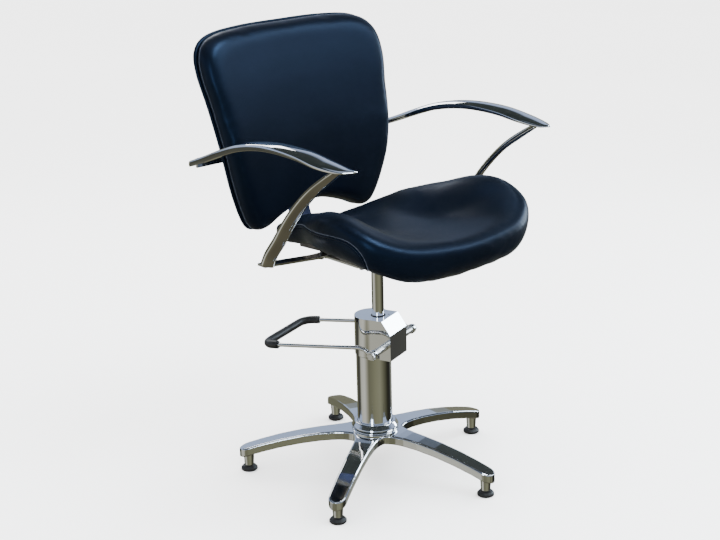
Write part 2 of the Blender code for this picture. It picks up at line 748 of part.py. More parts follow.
def make_seat(vinyl, wood, seat):
    """The moulded plywood board and the saddle-shaped cushion on it."""
    shares = (0.02, 0.3, 0.52, 0.68, BOARD_REACH)
    board_rows = [(share, lambda share, row: board_height(share, row) - BOARD_THICK) for share in shares]
    board_rows += [(share, board_height) for share in shares[::-1]]
    board = new_object("seat_board", seat_rings(board_rows), wood, seat)
    for centre in plate_bolts() + [(0.0, y) for y in BRACKET_BOLTS]:
        upright_hole(board, centre, BOARD_SCREW_TIP + GAP)
    for side in (-1, 1):
        upright_hole(board, (side * ARM_BOLT_X, ARM_FOOT_Y), ARM_SCREW_TIP + GAP)

    top_shares = (0.02, 0.25, 0.45, 0.6, 0.72, 0.82, 0.9)
    rows = [(share, cushion_height) for share in top_shares]
    rows.append((0.97, lambda share, row: row[2] - 0.012))
    rows.append((1.0, lambda share, row: row[2] * 0.6 + row[3] * 0.4))
    rows.append((0.97, lambda share, row: row[2] * 0.25 + row[3] * 0.75))
    rows.append((0.91, lambda share, row: row[3] + 0.003))
    rows.append((0.85, lambda share, row: row[3]))
    rows.append((BOARD_REACH + 0.02, lambda share, row: row[3] + 0.003))
    rows += [(share, lambda share, row: board_height(share, row) + GAP) for share in shares[::-1]]
    new_object("seat_cushion", seat_rings(rows), vinyl, seat)


def upright_hole(piece, centre, top):
    """Clearance for a screw that comes up from under the seat."""
    combine(piece, disc(SCREW_RADIUS + GAP, PLATE_LOW - 0.02, top, SMALL_ROUND, centre), "DIFFERENCE")


def level_hole(piece, x, z):
    """Clearance for a screw that goes into the back from behind."""
    shape = disc(SCREW_RADIUS + GAP, -0.045, 0.03, SMALL_ROUND)
    combine(piece, along(shape, (0.0, 1.0, 0.0), (x, BRACKET_Y, z)), "DIFFERENCE")


def plate_bolts():
    return [(x * PLATE_BOLT[0], y * PLATE_BOLT[1]) for x in (-1, 1) for y in (-1, 1)]


def make_seat_plate(steel, black, seat):
    """The steel plate under the board, its socket on the rod, and their black screws."""
    half_x, half_y = PLATE_HALF
    corner = 0.018
    outline = []
    for x, y in ((1, 1), (-1, 1), (-1, -1), (1, -1)):
        pair = [(x * (half_x - corner), y * half_y), (x * half_x, y * (half_y - corner))]
        outline += pair[::-1] if x * y > 0 else pair
    plate = new_object("seat_plate", prism(outline, PLATE_LOW, PLATE_HIGH), steel, seat)
    for k, (x, y) in enumerate(plate_bolts()):
        upright_hole(plate, (x, y), PLATE_HIGH + 0.004)
        head_high = PLATE_LOW - GAP
        bolt = hex_bolt(SCREW_HEAD, head_high - HEAD_HEIGHT, head_high, SCREW_RADIUS, BOARD_SCREW_TIP)
        new_object(f"seat_bolt_{k + 1}", bolt, black, seat, (x, y, 0.0))
    socket_high = PLATE_LOW - GAP
    socket = turned(
        (
            (ROD_RADIUS + GAP, SOCKET_LOW),
            (SOCKET_RADIUS - 0.003, SOCKET_LOW),
            (SOCKET_RADIUS, SOCKET_LOW + 0.003),
            (SOCKET_RADIUS, socket_high),
            (ROD_RADIUS + GAP, socket_high),
        )
    )
    made = new_object("rod_socket", socket, steel, seat)
    place = (0.0, 0.0, (SOCKET_LOW + PLATE_LOW) / 2)
    bore = disc(CLAMP_SCREW + GAP, 0.0, 0.04, SMALL_ROUND)
    combine(made, along(bore, (0.0, -1.0, 0.0), place), "DIFFERENCE")
    screw = along(disc(CLAMP_SCREW, ROD_RADIUS + GAP, 0.0275, SMALL_ROUND), (0.0, -1.0, 0.0), place)
    new_object("socket_screw", screw, black, seat)


# --- Back --------------------------------------------------------------------------------------------


def back_surface(x, z):
    """Y of the back's rear surface: leaning by height, and wrapping forward towards the sides."""
    heights, depths = zip(*BACK_LEAN)
    return float(np.interp(z, heights, depths)) + BACK_WRAP * (1 - min(abs(x) / 0.25, 1.0) ** 2)


def back_slab(name, rows, look, seat):
    """A slab with the back's outline: rows give a share of the outline and a depth ahead of the rear."""
    outline = closed_half(BACK_HALF)
    centre = np.array(BACK_CENTRE)
    loops = []
    for share, depth in rows:
        loop = []
        for row in outline:
            x, z = centre + (row - centre) * share
            loop.append((x, back_surface(x, z) - depth, z))
        loops.append(loop)
    return new_object(name, loft(loops), look, seat)


def make_back(vinyl, wood, seat):
    """Rear panel, plywood board and front cushion, one in front of the other, on the same rings."""
    shares = (0.02, 0.45, 0.8, 0.95)
    inward = shares[::-1]
    thick = BACK_PANEL_THICK
    rows = [(share, thick) for share in shares] + [(0.975, thick), (0.975, 0.0)]
    panel = back_slab("back_panel", rows + [(share, 0.0) for share in inward], vinyl, seat)
    low, high = thick + GAP, thick + BACK_BOARD_THICK
    rows = [(share, low) for share in shares] + [(share, high) for share in inward]
    board = back_slab("back_board", rows, wood, seat)
    low = high + GAP
    rows = [(0.02, BACK_THICK), (0.6, BACK_THICK), (0.86, BACK_THICK), (0.94, BACK_THICK - 0.005)]
    rows += [(0.985, BACK_THICK * 0.7), (1.0, BACK_THICK * 0.35), (1.0, thick + 0.003), (0.985, thick)]
    rows += [(0.965, thick + GAP)]
    rows += [(0.957, low)] + [(share, low) for share in inward]
    back_slab("back_cushion", rows, vinyl, seat)
    for x, z in back_bolts():
        level_hole(panel, x, z)
        level_hole(board, x, z)


def back_bolts():
    return [(0.0, 0.640), (0.0, 0.682), (-LUG_X, LUG_Z), (LUG_X, LUG_Z)]


def bracket_path():
    """Side view of the bracket's middle line, from under the seat to behind the back."""
    points = [(0.084, BRACKET_LOW), (0.215, BRACKET_LOW)]
    for k in range(1, 7):
        angle = k * math.pi / 12
        rise = BRACKET_BEND * (1 - math.cos(angle))
        points.append((0.215 + BRACKET_BEND * math.sin(angle), BRACKET_LOW + rise))
    points += [(BRACKET_Y, 0.62), (BRACKET_Y, 0.70)]
    return points


def make_bracket(dark, black, seat):
    """The bent flat bar that carries the back, and its four screws."""
    loops = []
    points = [Vector(point) for point in bracket_path()]
    for k, point in enumerate(points):
        ahead = (points[min(k + 1, len(points) - 1)] - points[max(k - 1, 0)]).normalized()
        offset = Vector((-ahead.y, ahead.x)) * BAR_THICK / 2
        inner, outer = point + offset, point - offset
        loops.append(
            [
                (-BRACKET_HALF, *inner),
                (BRACKET_HALF, *inner),
                (BRACKET_HALF, *outer),
                (-BRACKET_HALF, *outer),
            ]
        )
    bracket = new_object("back_bracket", loft(loops), dark, seat)
    for k, y in enumerate(BRACKET_BOLTS):
        upright_hole(bracket, (0.0, y), BRACKET_LOW + BAR_THICK)
        head_high = BRACKET_LOW - BAR_THICK / 2 - GAP
        bolt = hex_bolt(SCREW_HEAD, head_high - HEAD_HEIGHT, head_high, SCREW_RADIUS, BOARD_SCREW_TIP)
        new_object(f"bracket_bolt_{k + 1}", bolt, black, seat, (0.0, y, 0.0))
    for k, (x, z) in enumerate(back_bolts()):
        start = BRACKET_Y + BAR_THICK / 2 + GAP
        tip = back_surface(x, z) - BACK_PANEL_THICK - BACK_BOARD_THICK + 0.001
        bolt = hex_bolt(SCREW_HEAD, start, start + HEAD_HEIGHT, SCREW_RADIUS, tip)
        if x == 0.0:
            level_hole(bracket, x, z)
        new_object(f"back_bolt_{k + 1}", along(bolt, (0.0, 1.0, 0.0)), black, seat, (x, 0.0, z))


# --- Arms --------------------------------------------------------------------------------------------


def sorted_corners(first, second):
    """The lowest and the highest corner of the box between two corners."""
    return [[pick(pair) for pair in zip(first, second)] for pick in (min, max)]


def arm_foot(side):
    """The flat bar under the board: level at its bolt, then rising to the strut."""
    near, far = ARM_FOOT_Y - ARM_FOOT_HALF, ARM_FOOT_Y + ARM_FOOT_HALF
    loops = []
    for x, rise in ((ARM_FOOT_INNER, 0.0), (ARM_FOOT_BEND, 0.0), (ARM_PLANE, ARM_FOOT_RISE)):
        low, high = ARM_FOOT_LOW + rise, ARM_FOOT_HIGH + rise
        loops.append([(side * x, y, z) for y, z in ((near, low), (far, low), (far, high), (near, high))])
    return loft(loops)


def make_arm(name, side, chrome, black, seat):
    """Blade, strut, foot and rear lug in one piece, with the bolt that holds its foot to the board."""
    arm = new_object(name, ribbon(BLADE, side, 0.5), chrome, seat)
    combine(arm, ribbon(STRUT, side, 0.1, STRUT_ROLL), "UNION")
    combine(arm, arm_foot(side), "UNION")
    lug_low = (side * (LUG_X - LUG_HALF - 0.005), BRACKET_Y - BAR_THICK / 2, LUG_Z - LUG_HALF)
    lug_high = (side * BLADE[0][2], BRACKET_Y + BAR_THICK / 2, LUG_Z + LUG_HALF)
    combine(arm, box(*sorted_corners(lug_low, lug_high)), "UNION")
    level_hole(arm, side * LUG_X, LUG_Z)
    centre = (side * ARM_BOLT_X, ARM_FOOT_Y)
    upright_hole(arm, centre, ARM_FOOT_HIGH + 0.004)
    head_high = ARM_FOOT_LOW - GAP
    bolt = hex_bolt(SCREW_HEAD, head_high - HEAD_HEIGHT, head_high, SCREW_RADIUS, ARM_SCREW_TIP)
    new_object(name.replace("arm", "arm_bolt"), bolt, black, seat, (*centre, 0.0))


def main():
    clear_scene()
    alloy = new_material("polished_alloy", (0.80, 0.81, 0.82), 0.12, 1.0)
    chrome = new_material("chrome", (0.86, 0.87, 0.88), 0.06, 1.0)
    steel = new_material("bright_steel", (0.62, 0.63, 0.64), 0.30, 1.0)
    cast = new_material("cast_iron", (0.18, 0.18, 0.19), 0.55, 0.8)
    bronze = new_material("bronze", (0.62, 0.42, 0.20), 0.35, 1.0)
    dark = new_material("blued_steel", (0.05, 0.07, 0.14), 0.35, 0.6)
    black = new_material("black_screw", (0.03, 0.03, 0.03), 0.45, 0.5)
    rubber = new_material("black_rubber", (0.02, 0.02, 0.02), 0.70, 0.0)
    vinyl = new_material("dark_vinyl", (0.02, 0.03, 0.06), 0.38, 0.0)
    wood = new_material("plywood", (0.52, 0.38, 0.22), 0.60, 0.0)

    chair = new_empty("chair_axis", SWIVEL_AXIS)
    pump = new_empty("pump_axis", PUMP_PLACE, chair, PUMP_TURN)
    pedal = new_empty("pedal_axis", PIVOT, pump)
    plunger = new_empty("plunger_axis", (PIVOT[0] + ARM_NOSE[0], ARM_NOSE[1], 0.0), pump)
    lift = new_empty("lift_axis", (0.0, 0.0, 0.0), chair)
    seat = new_empty("swivel_axis", (0.0, 0.0, 0.0), lift)

    make_star_base(alloy, pump)
    make_glides(rubber, pump)
    make_column(steel, chrome, pump)
    make_valve_block(cast, pump)
    make_head_cover(chrome, pump)
    make_guides(rubber, bronze, pump)
    make_pedal(chrome, steel, rubber, pedal)
    make_plunger(steel, plunger)
    make_piston(steel, rubber, lift)
    make_rod(chrome, steel, seat)
    make_seat_plate(steel, black, seat)
    make_seat(vinyl, wood, seat)
    make_back(vinyl, wood, seat)
    make_bracket(dark, black, seat)
    make_arm("arm_left", 1, chrome, black, seat)
    make_arm("arm_right", -1, chrome, black, seat)


main()
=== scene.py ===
"""The looks of the salon styling chair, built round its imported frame. Metres, +Z up, the sitter faces -Y."""

import json
import math

import bmesh
import bpy
import numpy as np
from mathutils import Matrix, Vector
from mathutils.bvhtree import BVHTree


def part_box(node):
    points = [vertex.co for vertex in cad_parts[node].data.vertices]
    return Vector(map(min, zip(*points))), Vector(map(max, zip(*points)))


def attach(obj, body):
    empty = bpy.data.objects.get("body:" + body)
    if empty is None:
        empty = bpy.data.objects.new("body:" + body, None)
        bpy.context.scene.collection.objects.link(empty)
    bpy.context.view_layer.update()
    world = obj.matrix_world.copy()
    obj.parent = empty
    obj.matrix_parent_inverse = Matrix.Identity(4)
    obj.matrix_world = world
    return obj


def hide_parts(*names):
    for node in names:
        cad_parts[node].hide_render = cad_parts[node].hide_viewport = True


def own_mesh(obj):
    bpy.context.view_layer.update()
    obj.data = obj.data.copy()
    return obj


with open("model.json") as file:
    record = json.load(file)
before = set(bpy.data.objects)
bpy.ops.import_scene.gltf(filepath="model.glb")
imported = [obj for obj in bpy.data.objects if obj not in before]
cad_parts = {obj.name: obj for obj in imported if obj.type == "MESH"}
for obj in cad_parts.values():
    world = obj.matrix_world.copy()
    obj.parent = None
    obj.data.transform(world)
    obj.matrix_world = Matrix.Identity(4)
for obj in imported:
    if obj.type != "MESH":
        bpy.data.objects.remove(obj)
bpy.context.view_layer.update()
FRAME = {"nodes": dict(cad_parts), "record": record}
CAD_PARTS = FRAME["nodes"]
SLOT_OF = {row["node"]: row["material_slot"] for row in FRAME["record"]["subparts"]}


def box_middle(node):
    low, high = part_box(node)
    return (low + high) / 2


# The axes of the swivel and of the pump, from the frame. The tables below are about the swivel's axis in y.
SWIVEL = box_middle("piston_rod")
PUMP = box_middle("pump_cylinder")
AHEAD = SWIVEL.y

# Camera: at the chair's front right, about half a metre higher than its top
CAMERA_PLACE = (-2.1909, -2.4779, 1.5515)
CAMERA_RIGHT = (0.75075, -0.66018, -0.02327)
CAMERA_UP = (0.21899, 0.21549, 0.95164)
CAMERA_LENS = 76.31

# Seat
SEAT_CENTRE = np.array((0.0, -0.060))
SEAT_DISH = 0.612
BOARD_REACH = 0.78
BOARD_TOP = 0.5485

# Back: its rear surface curves round the sitter by BACK_WRAP between the middle and BACK_SIDE
BACK_CENTRE = np.array((0.0, 0.82))
BACK_THICK = 0.058
BACK_WRAP = 0.012
BACK_SIDE = 0.25
LEAN_STEP = 0.012
SHELL_THICK = 0.004
BOARD_THICK = 0.011

# Cushions: the vinyl is taut, so pressure lets it out by at most CLOTH_CAP
VOXEL = 0.005
SMOOTHINGS = 12
CLOTH_FRAMES = 20
CLOTH_PRESSURE = 4.0
CLOTH_CAP = 0.003
POINTS_AT_ONCE = 20000

# Seams: a piping cord, and a row of stitches beside it
SEAT_PIPING = 0.0021
BACK_PIPING = 0.0017
STITCH_OFFSET = 0.005
STITCH_RADIUS = 0.0004
STITCH_PROUD = 0.0003
STITCH_SHARE = 0.34
STITCH_SIDES = 6

# Half of the seat's plan, rear to front: x, y, height of the rim, height of the bottom edge.
SEAT_HALF = (
    (0.000, 0.196, 0.577, 0.549),
    (0.110, 0.192, 0.588, 0.551),
    (0.162, 0.170, 0.604, 0.555),
    (0.178, 0.110, 0.628, 0.564),
    (0.192, 0.045, 0.647, 0.577),
    (0.222, -0.020, 0.666, 0.586),
    (0.249, -0.095, 0.688, 0.592),
    (0.257, -0.170, 0.690, 0.595),
    (0.240, -0.245, 0.668, 0.580),
    (0.180, -0.293, 0.640, 0.556),
    (0.095, -0.315, 0.628, 0.547),
    (0.000, -0.322, 0.624, 0.545),
)

# Half of the back's outline, top to bottom: x, z.
BACK_HALF = (
    (0.000, 1.028),
    (0.120, 1.027),
    (0.213, 1.017),
    (0.256, 0.988),
    (0.266, 0.938),
    (0.258, 0.871),
    (0.250, 0.804),
    (0.238, 0.727),
    (0.225, 0.673),
    (0.203, 0.612),
    (0.181, 0.574),
    (0.153, 0.565),
    (0.108, 0.584),
    (0.052, 0.601),
    (0.000, 0.606),
)

# Rear surface of the back at its sides: z, y.
BACK_LEAN = ((0.56, 0.254), (0.65, 0.249), (0.727, 0.247), (0.80, 0.259), (0.90, 0.287), (1.03, 0.332))

# Arm blade, rear to tip: y, z, x, half width, half thickness.
BLADE = (
    (0.296, 0.7355, 0.288, 0.0070, 0.0065),
    (0.237, 0.7565, 0.288, 0.0085, 0.0070),
    (0.180, 0.7780, 0.289, 0.0105, 0.0075),
    (0.110, 0.8015, 0.290, 0.0140, 0.0080),
    (0.040, 0.8170, 0.291, 0.0190, 0.0085),
    (-0.030, 0.8245, 0.293, 0.0235, 0.0085),
    (-0.110, 0.8240, 0.294, 0.0270, 0.0080),
    (-0.180, 0.8160, 0.294, 0.0275, 0.0065),
    (-0.232, 0.8115, 0.290, 0.0190, 0.0045),
    (-0.262, 0.8135, 0.283, 0.0040, 0.0020),
)

# Arm strut, top to foot: y, z, x, half width, half thickness.
STRUT = (
    (-0.216, 0.8080, 0.290, 0.0090, 0.0040),
    (-0.180, 0.7860, 0.288, 0.0115, 0.0060),
    (-0.133, 0.7540, 0.285, 0.0130, 0.0065),
    (-0.097, 0.7230, 0.285, 0.0135, 0.0070),
    (-0.064, 0.6890, 0.285, 0.0140, 0.0075),
    (-0.036, 0.6550, 0.285, 0.0145, 0.0080),
    (-0.010, 0.6200, 0.285, 0.0150, 0.0090),
    (0.020, 0.5840, 0.285, 0.0150, 0.0095),
    (0.036, 0.5570, 0.285, 0.0150, 0.0095),
)
STRUT_ROLL = math.radians(30)

# The arm's foot: x and rise over its bolted end. Then half its width, its
# thickness, and its underside's height over the bolt's lowest point.
FOOT = ((0.110, 0.0), (0.138, 0.0), (0.152, 0.0009), (0.2935, 0.014))
FOOT_HALF = 0.014
FOOT_THICK = 0.006
FOOT_LIFT = 0.0054

# Opposite corners of the lug that holds the blade behind the back: x, y, z.
LUG = ((0.189, 0.275, 0.731), (0.287, 0.281, 0.753))

# Seam of the seat's side panel, rear to front: x, y, z.
SIDE_SEAM = (
    (0.150, 0.103, 0.600),
    (0.168, 0.050, 0.618),
    (0.190, -0.014, 0.632),
    (0.210, -0.080, 0.643),
    (0.230, -0.146, 0.650),
    (0.241, -0.191, 0.647),
    (0.243, -0.216, 0.634),
    (0.238, -0.227, 0.615),
    (0.222, -0.222, 0.590),
)

# Section of the strip round the back's edge: share of the outline, depth in front of the rear surface.
BAND_SECTION = (
    (0.9890, 0.0128),
    (0.9925, 0.0105),
    (0.9935, 0.0078),
    (0.9915, 0.0052),
    (0.9850, 0.0036),
    (0.9700, 0.0038),
    (0.9590, 0.0050),
    (0.9570, 0.0085),
    (0.9600, 0.0115),
    (0.9720, 0.0130),
)

# Strength of the white that lights the floor and shows behind the chair, and of what the chrome reflects
PLAIN_STRENGTH = 4.5
PANEL_STRENGTH = 0.9

# Share of a turn from -X through -Y, +X and +Y back to -X, and the panel's colour there
SIDE_PANELS = (
    (0.00, (0.38, 0.37, 0.29)),
    (0.04, (0.17, 0.17, 0.11)),
    (0.09, (0.20, 0.20, 0.13)),
    (0.16, (0.25, 0.25, 0.16)),
    (0.24, (0.28, 0.28, 0.19)),
    (0.32, (0.14, 0.14, 0.09)),
    (0.40, (0.03, 0.03, 0.02)),
    (0.47, (0.03, 0.03, 0.03)),
    (0.53, (0.34, 0.35, 0.30)),
    (0.62, (0.24, 0.24, 0.17)),
    (0.74, (0.18, 0.18, 0.12)),
    (0.79, (0.05, 0.05, 0.04)),
    (0.84, (0.10, 0.10, 0.08)),
    (0.88, (0.62, 0.62, 0.53)),
    (0.95, (0.70, 0.70, 0.62)),
    (1.00, (0.38, 0.37, 0.29)),
)

# Height from straight down, 0, to straight up, 1, and the colour there
SKY_BANDS = (
    (0.00, (0.10, 0.09, 0.06)),
    (0.18, (0.22, 0.21, 0.14)),
    (0.60, (0.55, 0.68, 0.95)),
    (0.71, (0.50, 0.62, 0.90)),
    (0.77, (0.05, 0.06, 0.06)),
    (0.93, (0.03, 0.04, 0.04)),
    (0.97, (0.55, 0.66, 0.90)),
    (1.00, (0.80, 0.88, 1.00)),
)

# How far the sky bands cover the side panels at that height
SKY_COVER = (
    (0.00, (1.0, 1.0, 1.0)),
    (0.12, (1.0, 1.0, 1.0)),
    (0.22, (0.0, 0.0, 0.0)),
    (0.57, (0.0, 0.0, 0.0)),
    (0.62, (1.0, 1.0, 1.0)),
)


# --- Node materials ----------------------------------------------------------------------------------


def fill_ramp(ramp, stops):
    """Sets the ramp to these (place, colour) stops."""
    ramp.elements[0].position, ramp.elements[1].position = stops[0][0], stops[-1][0]
    for where, _ in stops[1:-1]:
        ramp.elements.new(where)
    for element, (_, colour) in zip(ramp.elements, stops):
        element.color = (*colour, 1.0)


class Shader:
    """A Principled material and short ways to add the nodes that vary it."""

    def __init__(self, name, colour, roughness, metallic=0.0, **constants):
        self.material = bpy.data.materials.new(name)
        self.material.use_nodes = True
        self.tree = self.material.node_tree
        self.surface = self.tree.nodes["Principled BSDF"]
        self.surface.inputs["Base Color"].default_value = (*colour, 1.0)
        self.surface.inputs["Roughness"].default_value = roughness
        self.surface.inputs["Metallic"].default_value = metallic
        for socket, value in constants.items():
            self.surface.inputs[socket.replace("_", " ")].default_value = value
        self.place = self.add("ShaderNodeTexCoord").outputs["Object"]

    def add(self, kind, **inputs):
        node = self.tree.nodes.new(kind)
        for socket, value in inputs.items():
            self.feed(node.inputs[socket.replace("_", " ")], value)
        return node

    def feed(self, socket, value):
        if isinstance(value, bpy.types.NodeSocket):
            self.tree.links.new(value, socket)
        else:
            socket.default_value = value

    def noise(self, scale, detail=3.0, roughness=0.5):
        node = self.add("ShaderNodeTexNoise", Vector=self.place, Scale=scale)
        node.inputs["Detail"].default_value = detail
        node.inputs["Roughness"].default_value = roughness
        return node

    def spread(self, value, low, high):
        """The value, 0 to 1, as low to high."""
        node = self.add("ShaderNodeMapRange", Value=value)
        node.inputs["To Min"].default_value = low
        node.inputs["To Max"].default_value = high
        return node.outputs["Result"]

    def colours(self, value, *stops):
        """A colour ramp through (place, colour) stops."""
        node = self.add("ShaderNodeValToRGB", Fac=value)
        fill_ramp(node.color_ramp, stops)
        return node.outputs["Color"]

    def paint(self, colour, roughness=None):
        self.feed(self.surface.inputs["Base Color"], colour)
        if roughness is not None:
            self.feed(self.surface.inputs["Roughness"], roughness)

    def bump(self, *layers):
        """Bump from (height, strength, distance) layers, one on another."""
        normal = None
        for height, strength, distance in layers:
            node = self.add("ShaderNodeBump", Height=height, Strength=strength, Distance=distance)
            if normal is not None:
                self.feed(node.inputs["Normal"], normal)
            normal = node.outputs["Normal"]
        self.feed(self.surface.inputs["Normal"], normal)


def vinyl_material(name, dark, light, roughness):
    """Upholstery vinyl: a fine pebbled grain, faint creases, and a soft navy sheen."""
    shader = Shader(
        name,
        dark,
        roughness,
        Specular_Tint=(0.26, 0.50, 1.0, 1.0),
        Specular_IOR_Level=0.26,
        Sheen_Weight=0.01,
        Sheen_Roughness=0.4,
        Sheen_Tint=(0.35, 0.55, 1.0, 1.0),
    )
    pebble = shader.add("ShaderNodeTexVoronoi", Vector=shader.place, Scale=950.0)
    pebble.feature = "SMOOTH_F1"
    wide = shader.noise(9.0)
    fine = shader.noise(420.0, 4.0)
    creases = shader.add("ShaderNodeTexVoronoi", Vector=shader.place, Scale=300.0)
    creases.feature = "DISTANCE_TO_EDGE"
    shader.paint(
        shader.colours(wide.outputs["Fac"], (0.3, dark), (0.7, light)),
        shader.spread(fine.outputs["Fac"], roughness - 0.06, roughness + 0.07),
    )
    shader.bump(
        (pebble.outputs["Distance"], 0.16, 0.0002),
        (creases.outputs["Distance"], 0.10, 0.0002),
        (wide.outputs["Fac"], 0.10, 0.004),
    )
    return shader.material


def chrome_material(name, colour, roughness, ripple=0.02):
    """Plated metal: almost clean, with faint wipe marks and a slight roll in the surface."""
    shader = Shader(name, colour, roughness, 1.0)
    wipes = shader.noise(55.0, 5.0, 0.65)
    tone = shader.noise(7.0)
    dimmer = tuple(0.93 * channel for channel in colour)
    shader.paint(
        shader.colours(tone.outputs["Fac"], (0.3, colour), (0.75, dimmer)),
        shader.spread(wipes.outputs["Fac"], roughness * 0.6, roughness * 1.7),
    )
    shader.bump((tone.outputs["Fac"], ripple, 0.003))
    return shader.material


def cast_material(name, colour, roughness, metallic, scale, depth):
    """Metal or rubber with a fine pitted surface and mottled colour."""
    shader = Shader(name, colour, roughness, metallic)
    pits = shader.noise(scale, 6.0, 0.6)
    blotches = shader.noise(26.0)
    light = tuple(min(1.6 * channel + 0.004, 1.0) for channel in colour)
    shader.paint(
        shader.colours(blotches.outputs["Fac"], (0.3, colour), (0.75, light)),
        shader.spread(pits.outputs["Fac"], roughness - 0.08, min(roughness + 0.12, 1.0)),
    )
    shader.bump((pits.outputs["Fac"], 0.35, depth))
    return shader.material


def brushed_material(name, colour, roughness):
    """Zinc-plated or turned steel: fine lines one way, and cloudy roughness."""
    shader = Shader(name, colour, roughness, 1.0)
    stretched = shader.add("ShaderNodeMapping", Vector=shader.place)
    stretched.inputs["Scale"].default_value = (30.0, 700.0, 700.0)
    lines = shader.add("ShaderNodeTexNoise", Vector=stretched.outputs["Vector"], Scale=1.0, Detail=4.0)
    clouds = shader.noise(40.0)
    warm = (colour[0] * 1.05, colour[1], colour[2] * 0.88)
    shader.paint(
        shader.colours(clouds.outputs["Fac"], (0.3, colour), (0.75, warm)),
        shader.spread(lines.outputs["Fac"], roughness - 0.10, roughness + 0.14),
    )
    shader.bump((lines.outputs["Fac"], 0.08, 0.0003))
    return shader.material


def plywood_material():
    """Plywood stained black, with long grain."""
    shader = Shader("plywood", (0.020, 0.017, 0.014), 0.6)
    stretched = shader.add("ShaderNodeMapping", Vector=shader.place)
    stretched.inputs["Scale"].default_value = (160.0, 14.0, 160.0)
    grain = shader.add("ShaderNodeTexNoise", Vector=stretched.outputs["Vector"], Scale=1.0, Detail=6.0)
    dark, light = (0.012, 0.010, 0.008), (0.028, 0.024, 0.019)
    shader.paint(
        shader.colours(grain.outputs["Fac"], (0.3, dark), (0.6, light)),
        shader.spread(grain.outputs["Fac"], 0.5, 0.72),
    )
    shader.bump((grain.outputs["Fac"], 0.2, 0.0005))
    return shader.material


def thread_material():
    """Twisted thread: a dark blue-grey with a fine ribbed surface."""
    shader = Shader("seam_thread", (0.05, 0.06, 0.09), 0.7)
    twist = shader.noise(2600.0, 2.0)
    dark, light = (0.02, 0.03, 0.05), (0.09, 0.11, 0.15)
    shader.paint(shader.colours(twist.outputs["Fac"], (0.35, dark), (0.65, light)))
    shader.bump((twist.outputs["Fac"], 0.4, 0.0003))
    return shader.material


# --- Mesh helpers ------------------------------------------------------------------------------------


def smooth_row(stations, per_span):
    """Catmull-Rom through the stations: rows of the same columns, per_span rows for each span."""
    rows = np.array(stations, float)
    padded = np.vstack([2 * rows[0] - rows[1], rows, 2 * rows[-1] - rows[-2]])
    out = []
    for k in range(len(rows) - 1):
        out += curve_span(padded[k : k + 4], per_span)
    out.append(rows[-1])
    return np.array(out)


def closed_half(half, per_span):
    """A smooth closed outline from one half, whose first and last points lie on the mirror plane."""
    mirrored = [(-row[0], *row[1:]) for row in half[1:-1]]
    rows = np.array(list(half) + mirrored[::-1], float)
    out = []
    for k in range(len(rows)):
        out += curve_span([rows[(k + shift) % len(rows)] for shift in (-1, 0, 1, 2)], per_span)
    return np.array(out)


def curve_span(four, per_span):
    a, b, c, d = four
    out = []
    for step in range(per_span):
        t = step / per_span
        bend = (2 * a - 5 * b + 4 * c - d) * t**2 + (3 * b - a - 3 * c + d) * t**3
        out.append(0.5 * (2 * b + (c - a) * t + bend))
    return out


def new_piece(name, shape, material):
    """An object of this bmesh, with its faces turned out and shaded smooth."""
    bmesh.ops.recalc_face_normals(shape, faces=shape.faces)
    mesh = bpy.data.meshes.new(name)
    shape.to_mesh(mesh)
    shape.free()
    mesh.materials.append(material)
    mesh.shade_smooth()
    piece = bpy.data.objects.new(name, mesh)
    bpy.context.scene.collection.objects.link(piece)
    return piece


def bridge(shape, low, high):
    """Faces between two rings of the same number of points."""
    for k in range(len(low)):
        j = (k + 1) % len(low)
        shape.faces.new((low[k], low[j], high[j], high[k]))


def loft(loops):
    """A skin over rings of the same number of points, with a fan of faces on each end."""
    shape = bmesh.new()
    rings = [[shape.verts.new(point) for point in loop] for loop in loops]
    for low, high in zip(rings, rings[1:]):
        bridge(shape, low, high)
    for end in (rings[0], rings[-1]):
        middle = shape.verts.new(sum((vert.co for vert in end), Vector()) / len(end))
        for k in range(len(end)):
            shape.faces.new((end[k], end[(k + 1) % len(end)], middle))
    return shape


def ring_round(shape, centre, side, across, radius, segments):
    """A ring of points about the centre, in the plane of side and across."""
    ring = []
    for step in range(segments):
        angle = math.tau * step / segments
        out = side * math.cos(angle) + across * math.sin(angle)
        ring.append(shape.verts.new(centre + out * radius))
    return ring


def tube(points, radius, segments=10, closed=False):
    """A round cord along the points."""
    count = len(points)
    points = [Vector(point) for point in points]
    shape = bmesh.new()
    side = Vector((0.0, 0.0, 1.0))
    rings = []
    for k, point in enumerate(points):
        after = points[(k + 1) % count] if closed else points[min(k + 1, count - 1)]
        before = points[(k - 1) % count] if closed else points[max(k - 1, 0)]
        along = (after - before).normalized()
        side = (side - along * side.dot(along)).normalized()
        across = along.cross(side)
        rings.append(ring_round(shape, point, side, across, radius, segments))
    for low, high in zip(rings, rings[1:]):
        bridge(shape, low, high)
    if closed:
        bridge(shape, rings[-1], rings[0])
    else:
        shape.faces.new(rings[0][::-1])
        shape.faces.new(rings[-1])
    return shape


def apply_modifiers(piece):
    """The piece with its modifiers worked into its mesh."""
    graph = bpy.context.evaluated_depsgraph_get()
    mesh = bpy.data.meshes.new_from_object(piece.evaluated_get(graph))
    piece.modifiers.clear()
    piece.data = mesh
    return piece


def dress(piece, material):
    """The piece with this as its only material."""
    piece.data.materials.clear()
    piece.data.materials.append(material)
    return piece


def stand_for(piece, body, slot, *nodes):
    """The piece rides on the body and shows in place of these CAD nodes."""
    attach(piece, body)
    if nodes:
        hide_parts(*nodes)
    return piece


# --- Cushions ----------------------------------------------------------------------------------------


def remesh(piece, voxel):
    modifier = piece.modifiers.new("voxels", "REMESH")
    modifier.mode = "VOXEL"
    modifier.voxel_size = voxel
    modifier.use_smooth_shade = True
    return apply_modifiers(piece)


def coordinates(mesh):
    flat = np.empty(len(mesh.vertices) * 3)
    mesh.vertices.foreach_get("co", flat)
    return flat.reshape(-1, 3)


